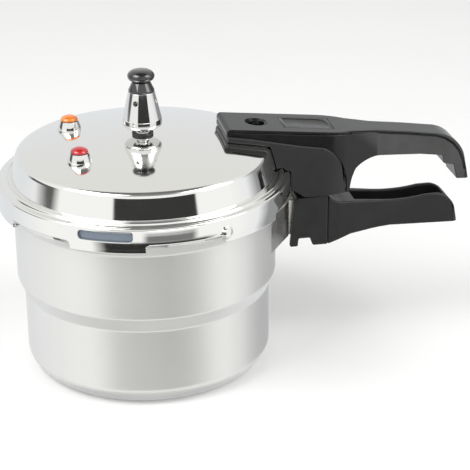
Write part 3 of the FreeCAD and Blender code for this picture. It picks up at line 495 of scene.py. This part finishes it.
def build_lid():
    """The lid, with its crown, bead and skirt, its stamped stops, notches and windows."""
    wall = SHEET_WALL
    inside = skirt_radius - wall
    lug_top = skirt_foot + LID_LUG_HEIGHT
    under = shoulder_top - wall
    skirt_rows = [(skirt_radius - SKIRT_BARREL * ((row - 8) / 6) ** 2, skirt_foot + row * MM, 0)
                  for row in range(2, 15)]
    outline = rounded([(skirt_radius - 0.3 * MM, skirt_foot, 1.4 * MM)] + skirt_rows + [
        # shoulder and bead
        (skirt_radius - 0.5 * MM, shoulder_top, 3.2 * MM),
        (skirt_radius - 4.3 * MM, shoulder_top, 2.2 * MM),
        (skirt_radius - 5.2 * MM, shoulder_top + 2.2 * MM, 1.8 * MM),
        (skirt_radius - 7.4 * MM, shoulder_top + 2.2 * MM, 1.8 * MM),
        (skirt_radius - 8.4 * MM, shoulder_top + 1.2 * MM, 1.2 * MM),
        # crown wall and dome
        (band_foot, shoulder_top + 1.2 * MM, 3.6 * MM),
        (crown_radius, crown_edge, 9.0 * MM),
    ] + dome_points(crown_radius, crown_edge, dome_top) + [
        (0, dome_top - wall, 0),
    ] + dome_points(crown_radius - wall, crown_edge - wall, dome_top - wall)[-2::-1] + [
        (crown_radius - wall, crown_edge - wall, 1 * MM),
        # inside of the skirt, down to its lugs
        (band_foot - wall, under, 1 * MM),
        (inside, under, 1 * MM),
        (inside, lug_top, 0.6 * MM),
        (inside - LID_LUG_REACH, lug_top, 0.5 * MM),
        (inside - LID_LUG_REACH, skirt_foot, 0.5 * MM),
    ], 10)
    piece = lathe("lid", outline, MIRROR, steps=480)
    for bearing in STOP_TURNS:
        for vertex in piece.data.vertices:
            across = math.hypot(vertex.co.x, vertex.co.y)
            if across > skirt_radius - 0.2 * MM:
                out = stamped_bump(vertex, bearing) / across
                vertex.co.x *= 1 + out
                vertex.co.y *= 1 + out
    work = bmesh.new()
    for number in range(LUG_COUNT):
        radial_block(work, inside - 6 * MM, skirt_radius + 4 * MM, skirt_foot - 6 * MM,
                     skirt_foot + NOTCH_HEIGHT, LUG_TURN + pitch * (number + 0.5), NOTCH_SPAN,
                     WINDOW_CORNER)
    window_top = under - 0.8 * MM
    for turn in (WINDOW_TURN, WINDOW_TURN - 180):
        radial_block(work, inside - 1 * MM, skirt_radius + 4 * MM, window_top - WINDOW_HEIGHT,
                     window_top, turn, WINDOW_SPAN, WINDOW_CORNER)
    carve(piece, work, 0.45 * MM)
    return stand_for(piece, "lid", "polished_steel", "lid_shell")


# ---- the weight on the vent ------------------------------------------------------------

def build_regulator():
    """The weight with its vent holes, its collar and its knob."""
    foot, top = weight_low.z, weight_high.z
    wide = weight_high.x
    neck = collar_high.x
    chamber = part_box("vent_pipe")[1].z + CHAMBER_ABOVE_VENT
    weight = lathe("weight", rounded([
        (WEIGHT_BORE, foot, 0.4 * MM),
        (wide - 0.1 * MM, foot + 0.3 * MM, 5.0 * MM),
        (wide, foot + 6.4 * MM, 3.0 * MM),
        (neck, top, 0.3 * MM),
        (NEEDLE_BORE, top, 0),
        (NEEDLE_BORE, chamber, 0),
        (WEIGHT_BORE, chamber, 0),
    ], 8), CHROME, steps=128)
    work = bmesh.new()
    for bearing in VENT_HOLE_TURNS:
        turn = (Matrix.Rotation(math.radians(bearing), 4, "Z")
                @ Matrix.Rotation(math.pi / 2, 4, "Y"))
        place = Matrix.Translation((0, 0, chamber - 2.5 * MM)) @ turn
        place = place @ Matrix.Translation((0, 0, 9 * MM))
        bmesh.ops.create_cone(work, cap_ends=True, segments=32, radius1=VENT_HOLE_RADIUS,
                              radius2=VENT_HOLE_RADIUS, depth=14 * MM, matrix=place)
    carve(weight, work, 0.25 * MM)
    stand_for(weight, "regulator", "chrome", "regulator_weight")
    collar = lathe("weight_collar", rounded([
        (NEEDLE_BORE, top, 0),
        (neck, top, 0.4 * MM),
        (neck - 0.2 * MM, top + 1.4 * MM, 0.6 * MM),
        (6.3 * MM, collar_high.z, 0.2 * MM),
        (NEEDLE_BORE, collar_high.z, 0),
    ], 4), KNOB_BLACK, steps=96)
    stand_for(collar, "regulator", "gloss_black", "regulator_collar")
    low, high = collar_high.z, knob_high.z
    middle = (low + high) / 2 - 0.2 * MM
    reach = knob_high.x
    edge = [(reach * math.cos(math.radians(turn)) ** 0.72,
             middle + (high - middle) * math.sin(math.radians(turn)), 0)
            for turn in range(6, 85, 6)]
    below = [(across, 2 * middle - up, 0) for across, up, _ in edge[::-1] if 2 * middle - up > low]
    knob = lathe("weight_knob", rounded([(0, low, 0), (6.4 * MM, low, 0)] + below + edge
                                        + [(0, high, 0)]), KNOB_BLACK, steps=96)
    stand_for(knob, "regulator", "gloss_black", "regulator_knob")


# ---- safety valves ---------------------------------------------------------------------

def build_valve(colour, material):
    """Domed housing on the lid with a coloured cap that rises with its valve."""
    low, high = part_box(f"{colour}_valve_bell")
    centre = ((low.x + high.x) / 2, (low.y + high.y) / 2)
    foot = (high.x - low.x) / 2
    deck = high.z - BELL_HEIGHT
    cap_low, cap_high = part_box(f"{colour}_valve_cap")
    cap = (cap_high.x - cap_low.x) / 2
    inset = foot - BELL_INSET
    swell = [(inset - (inset - BELL_TOP_RADIUS) * (part / 8) ** 1.15,
              deck + BELL_RIM + (BELL_HEIGHT - BELL_RIM) * part / 8, 0) for part in range(9)]
    bell = lathe(f"{colour}_bell", rounded([
        (2 * MM, deck - 2.6 * MM, 0),
        (foot, deck - 2.6 * MM, 0.3 * MM),
        (foot, deck + 1 * MM, 0.25 * MM),
    ] + swell + [(2 * MM, high.z, 0)], 4), CHROME, centre, steps=96)
    stand_for(bell, "lid", "chrome", f"{colour}_valve_bell")
    rise = cap_high.z - cap_low.z
    crown = [(cap * math.cos(math.radians(turn)),
              cap_low.z + 0.3 * MM + (rise - 0.3 * MM) * math.sin(math.radians(turn)), 0)
             for turn in range(0, 90, 6)]
    stem_top = cap_low.z + 1.5 * MM
    dome = lathe(f"{colour}_cap", rounded(
        [(1.3 * MM, cap_low.z, 0), (cap - 0.2 * MM, cap_low.z, 0)] + crown
        + [(0, cap_high.z, 0), (0, stem_top, 0), (1.3 * MM, stem_top, 0)]),
        material, centre, steps=96, smooth_angle=50)
    stand_for(dome, f"{colour}_valve", f"{colour}_cap", f"{colour}_valve_cap")


def build_spring(colour):
    """The valve's spring, riding on the lid with a mesh of its own."""
    name = f"{colour}_valve_spring"
    piece = add_object(f"{colour}_coil", NODES[name].data.copy(), STEEL, 60)
    stand_for(piece, "lid", "plain_steel", name)
    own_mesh(piece)


# ---- handles ---------------------------------------------------------------------------

def crisp(node, material, edge, body, slot):
    """A CAD node's shape as a moulding with small rounds along its edges."""
    mesh = NODES[node].data.copy()
    work = bmesh.new()
    work.from_mesh(mesh)
    bmesh.ops.remove_doubles(work, verts=work.verts, dist=0.002 * MM)
    bmesh.ops.dissolve_limit(work, angle_limit=math.radians(0.5), verts=work.verts,
                             edges=work.edges)
    work.to_mesh(mesh)
    work.free()
    piece = add_object(f"{node}_moulding", mesh, material)
    if edge:
        soften_edges(piece, edge)
    return stand_for(piece, body, slot, node)


def soften_edges(piece, edge, angle=28):
    """Rounds a piece's edges and keeps its flat faces evenly shaded."""
    soften = piece.modifiers.new("soften", "BEVEL")
    soften.width = edge
    soften.segments = 3
    soften.limit_method = "ANGLE"
    soften.angle_limit = math.radians(angle)
    soften.use_clamp_overlap = False
    even = piece.modifiers.new("even", "WEIGHTED_NORMAL")
    even.weight = 50
    even.keep_sharp = True
    apply_modifiers(piece)


def handle_place(across, up):
    """A point of the handles' middle plane: beyond the skirt, and above the rim."""
    return skirt_radius + across * MM, rim_top + up * MM


def top_groove(piece):
    """Thin shadow line round the sides of the lid handle, just under its top face."""
    path = [handle_place(*point) for point in TOP_LINE]
    work = bmesh.new()
    rings = []
    for index, (across, up) in enumerate(path):
        before, after = path[max(index - 1, 0)], path[min(index + 1, len(path) - 1)]
        along = Vector((after[0] - before[0], after[1] - before[1])).normalized()
        down = Vector((along.y, -along.x))
        rings.append([work.verts.new((across + down.x * depth * MM, side * 30 * MM,
                                      up + down.y * depth * MM))
                      for depth, side in ((GROOVE_TOP, -1), (GROOVE_TOP, 1),
                                          (GROOVE_FOOT, 1), (GROOVE_FOOT, -1))])
    for here, after in zip(rings, rings[1:]):
        for index in range(4):
            following = (index + 1) % 4
            work.faces.new((here[index], after[index], after[following], here[following]))
    work.faces.new(rings[0])
    work.faces.new(rings[-1][::-1])
    bmesh.ops.recalc_face_normals(work, faces=work.faces)
    mesh = bpy.data.meshes.new("strip")
    work.to_mesh(mesh)
    work.free()
    strip = bpy.data.objects.new("strip", mesh)
    bpy.context.scene.collection.objects.link(strip)
    core = bpy.data.objects.new("core", piece.data.copy())
    bpy.context.scene.collection.objects.link(core)
    for vertex in core.data.vertices:
        vertex.co.y *= GROOVE_CORE
    for target, tool in ((strip, core), (piece, strip)):
        cut = target.modifiers.new("cut", "BOOLEAN")
        cut.object = tool
        cut.solver = "EXACT"
        apply_modifiers(target)
    bpy.data.objects.remove(strip)
    bpy.data.objects.remove(core)


def build_panel():
    """Blank plate let into the handle's top, with a shallow field that is round at one end."""
    slope = math.atan(TOP_FALL / TOP_RUN)
    start, level = handle_place(*PLATE_START)
    place = Matrix.Translation((start, 0, level)) @ Matrix.Rotation(slope, 4, "Y")
    work = bmesh.new()
    middle = Matrix.Translation((PLATE_LENGTH / 2, 0, -PLATE_DEPTH))
    stretch = Matrix.Diagonal((PLATE_LENGTH, 2 * PLATE_HALF_WIDTH, PLATE_THICKNESS, 1))
    bmesh.ops.create_cube(work, size=1, matrix=place @ middle @ stretch)
    mesh = bpy.data.meshes.new("handle_plate")
    work.to_mesh(mesh)
    work.free()
    plate = add_object("handle_plate", mesh, PANEL)
    side = FIELD_HALF_WIDTH
    outline = rounded([(FIELD_NEAR, -side, 0.8 * MM), (FIELD_FAR, -side, 8 * MM),
                       (FIELD_FAR, side, 8 * MM), (FIELD_NEAR, side, 0.8 * MM)], 8)
    work = bmesh.new()
    loops = [[work.verts.new(place @ Vector((point.x, point.y, height * MM))) for point in outline]
             for height in (-0.5, 2)]
    for index in range(len(outline)):
        after = (index + 1) % len(outline)
        work.faces.new((loops[0][index], loops[0][after], loops[1][after], loops[1][index]))
    work.faces.new(loops[0][::-1])
    work.faces.new(loops[1])
    carve(plate, work, 0.2 * MM)
    return stand_for(plate, "lid", "black_panel", "handle_panel")


def build_handles():
    """The mouldings of both handles, with rounded edges."""
    cover = crisp("lid_handle_cover", BLACK, 0, "lid", "black_phenolic")
    top_groove(cover)
    lean_grip(cover)
    soften_edges(cover, 0.45 * MM, 40)
    build_panel()
    crisp("lid_handle_saddle", MATT_BLACK, 1.2 * MM, "lid", "black_phenolic")
    crisp("pot_handle_collar", MATT_BLACK, 1.2 * MM, "pot", "black_phenolic")
    crisp("pot_handle_grip", MATT_BLACK, 1.0 * MM, "pot", "black_phenolic")


def lean_grip(piece):
    """Leans the grip's sides in towards its top, past the neck."""
    for vertex in piece.data.vertices:
        past = min(1.0, max(0.0, (vertex.co.x - skirt_radius - LEAN_START) / LEAN_RUN))
        height = (vertex.co.z - rim_top - LEAN_FOOT) / LEAN_HEIGHT
        vertex.co.y *= 1 - LEAN * past * min(1.0, max(0.0, height))


def finish_frame_nodes():
    """Materials for the CAD nodes that show as they are."""
    finishes = {
        "sealing_gasket": GASKET, "handle_panel": PANEL, "vent_washer": SEAL, "vent_pipe": CHROME,
        "vent_seal": SEAL, "red_valve_seal": SEAL, "orange_valve_seal": SEAL,
        "float_valve_seal": SEAL, "pot_handle_bracket": SHEET,
    }
    for name, node in NODES.items():
        node.data.materials.clear()
        node.data.materials.append(finishes.get(name, STEEL))
        shade(node)


# ---- stage -----------------------------------------------------------------------------

CAMERA_TURN = -11
CAMERA_RISE = 23.42
CAMERA_REACH = 1.1544
CAMERA_AIM = Vector((0.0621, -0.0121, 0.090))
CAMERA_LENS = 124.3
CAMERA_ROLL = -0.5


def from_camera_side(turn, rise):
    """Unit vector from the object towards a place seen at a bearing from the camera's own."""
    bearing = math.radians(CAMERA_TURN + turn)
    level = math.cos(math.radians(rise))
    up = math.sin(math.radians(rise))
    return Vector((math.sin(bearing) * level, -math.cos(bearing) * level, up))


def build_camera():
    """The camera, with the place, lens and roll that show the object as it is seen."""
    data = bpy.data.cameras.new("camera")
    data.lens = CAMERA_LENS
    data.sensor_width = 36
    data.clip_end = 20
    camera = bpy.data.objects.new("camera", data)
    bpy.context.scene.collection.objects.link(camera)
    back = from_camera_side(0, CAMERA_RISE)
    turn = back.to_track_quat("Z", "Y").to_matrix().to_4x4()
    roll = Matrix.Rotation(math.radians(CAMERA_ROLL), 4, "Z")
    camera.matrix_world = Matrix.Translation(CAMERA_AIM + back * CAMERA_REACH) @ turn @ roll
    bpy.context.scene.camera = camera


def add_light(name, turn, rise, reach, width, height, power):
    """A soft box aimed at the object from a bearing and a rise seen from the camera's side."""
    data = bpy.data.lights.new(name, "AREA")
    data.shape = "RECTANGLE"
    data.size = width
    data.size_y = height
    data.energy = power
    light = bpy.data.objects.new(name, data)
    bpy.context.scene.collection.objects.link(light)
    towards = from_camera_side(turn, rise)
    centre = Vector((0.05, 0, 0.1))
    light.matrix_world = (Matrix.Translation(centre + towards * reach)
                          @ towards.to_track_quat("Z", "Y").to_matrix().to_4x4())


def build_floor():
    """A pale floor that shows and shades, but that the metal doesn't reflect."""
    mesh = bpy.data.meshes.new("floor")
    work = bmesh.new()
    bmesh.ops.create_circle(work, cap_ends=True, segments=96, radius=2.5)
    work.to_mesh(mesh)
    work.free()
    material, tree, shader = new_material("floor", (0.93, 0.93, 0.93), 0.6)
    tree.links.new(tint(tree, noise(tree, 4, 2.0), (0.925, 0.925, 0.925), (0.94, 0.94, 0.94)),
                   shader.inputs["Base Color"])
    floor = add_object("floor", mesh, material)
    floor.location.z = -0.3 * MM
    floor.visible_glossy = False


def math_node(tree, operation, first, second=None):
    """A sum on one or two numbers or sockets."""
    node = tree.nodes.new("ShaderNodeMath")
    node.operation = operation
    for socket, value in zip(node.inputs, (first, second)):
        if value is None:
            continue
        if isinstance(value, (int, float)):
            socket.default_value = value
        else:
            tree.links.new(value, socket)
    return node.outputs[0]


def window_mask(tree, value, low, high, soft):
    """One between two values and zero outside, with soft ends."""
    rise = math_node(tree, "DIVIDE", math_node(tree, "SUBTRACT", value, low), soft)
    fall = math_node(tree, "DIVIDE", math_node(tree, "SUBTRACT", high, value), soft)
    both = tree.nodes.new("ShaderNodeMath")
    both.operation = "MINIMUM"
    both.use_clamp = True
    tree.links.new(rise, both.inputs[0])
    tree.links.new(fall, both.inputs[1])
    return both.outputs[0]


def blend_colours(tree, source, low, high, first, second):
    """Blends a colour or colour socket into another as a value goes from low to high."""
    reach = tree.nodes.new("ShaderNodeMapRange")
    reach.inputs["From Min"].default_value = low
    reach.inputs["From Max"].default_value = high
    tree.links.new(source, reach.inputs["Value"])
    node = tree.nodes.new("ShaderNodeMix")
    node.data_type = "RGBA"
    for letter, colour in (("A", first), ("B", second)):
        if isinstance(colour, tuple):
            node.inputs[letter].default_value = colour
        else:
            tree.links.new(colour, node.inputs[letter])
    tree.links.new(reach.outputs["Result"], node.inputs["Factor"])
    return node.outputs["Result"]


# Soft-edged areas of the studio, as seen from the object: lowest and highest bearing from the
# camera's side, lowest and highest rise, the share of light that the area takes away (it adds
# light where this is negative), and how soft its edges are in bearing and in rise. In degrees.
STUDIO_AREAS = [
    (-24, 48, -2, 14, 0.96, 2, 1.5),
    (-40, 62, -35, -22, 0.97, 12, 2),
    (0, 44, -24, -14, 0.8, 5, 2),
    (4, 46, -13, -4, -2.4, 8, 2),
    (-34, 44, 44, 62, 0.75, 6, 5),
    (-117, -72, -3, 16, 0.88, 9, 3),
    (100, 166, -36, 28, 0.62, 14, 6),
    (-181, 181, -95, -48, 0.45, 1, 12),
    (-181, 181, 57, 95, 0.8, 1, 8),
]

BACK_LOW = (0.80, 0.82, 0.845, 1)
BACK_HIGH = (0.80, 0.795, 0.765, 1)
FRONT_COLOUR = (1.0, 0.995, 0.985, 1)


def build_world():
    """A white studio with dark and bright areas that the polished metal reflects."""
    world = bpy.data.worlds.new("studio")
    bpy.context.scene.world = world
    world.use_nodes = True
    tree = world.node_tree
    tree.nodes.clear()
    place = tree.nodes.new("ShaderNodeTexCoord")
    turn = tree.nodes.new("ShaderNodeVectorRotate")
    turn.rotation_type = "Z_AXIS"
    turn.inputs["Angle"].default_value = math.radians(90 - CAMERA_TURN)
    split = tree.nodes.new("ShaderNodeSeparateXYZ")
    tree.links.new(place.outputs["Generated"], turn.inputs["Vector"])
    tree.links.new(turn.outputs["Vector"], split.inputs["Vector"])
    bearing = math_node(tree, "DEGREES", math_node(tree, "ARCTAN2", split.outputs["Y"],
                                                   split.outputs["X"]))
    rise = math_node(tree, "DEGREES", math_node(tree, "ARCSINE", split.outputs["Z"]))
    level = 1.0
    for left, right, low, high, depth, soft_turn, soft_rise in STUDIO_AREAS:
        area = math_node(tree, "MULTIPLY", window_mask(tree, bearing, left, right, soft_turn),
                         window_mask(tree, rise, low, high, soft_rise))
        kept = math_node(tree, "SUBTRACT", 1.0, math_node(tree, "MULTIPLY", area, depth))
        level = math_node(tree, "MULTIPLY", kept, level)
    back = blend_colours(tree, split.outputs["Z"], 0.0, 0.7, BACK_LOW, BACK_HIGH)
    sky = blend_colours(tree, split.outputs["X"], -0.5, 0.2, back, FRONT_COLOUR)
    studio = tree.nodes.new("ShaderNodeBackground")
    tree.links.new(level, studio.inputs["Strength"])
    tree.links.new(sky, studio.inputs["Color"])
    plain = tree.nodes.new("ShaderNodeBackground")
    plain.inputs["Color"].default_value = (1, 1, 1, 1)
    plain.inputs["Strength"].default_value = 1.0
    ray = tree.nodes.new("ShaderNodeLightPath")
    mix = tree.nodes.new("ShaderNodeMixShader")
    out = tree.nodes.new("ShaderNodeOutputWorld")
    tree.links.new(ray.outputs["Is Camera Ray"], mix.inputs[0])
    tree.links.new(studio.outputs[0], mix.inputs[1])
    tree.links.new(plain.outputs[0], mix.inputs[2])
    tree.links.new(mix.outputs[0], out.inputs["Surface"])


def build_stage():
    """Floor, camera, studio and lights."""
    build_floor()
    build_camera()
    build_world()
    add_light("key", -55, 50, 1.6, 1.0, 1.0, 14)
    add_light("fill", 70, 40, 1.7, 0.9, 1.2, 10)
    bpy.context.scene.view_settings.view_transform = "Standard"


build_stage()
finish_frame_nodes()
build_vessel()
build_lid()
build_regulator()
build_valve("red", RED)
build_valve("orange", ORANGE)
build_spring("red")
build_spring("orange")
build_handles()
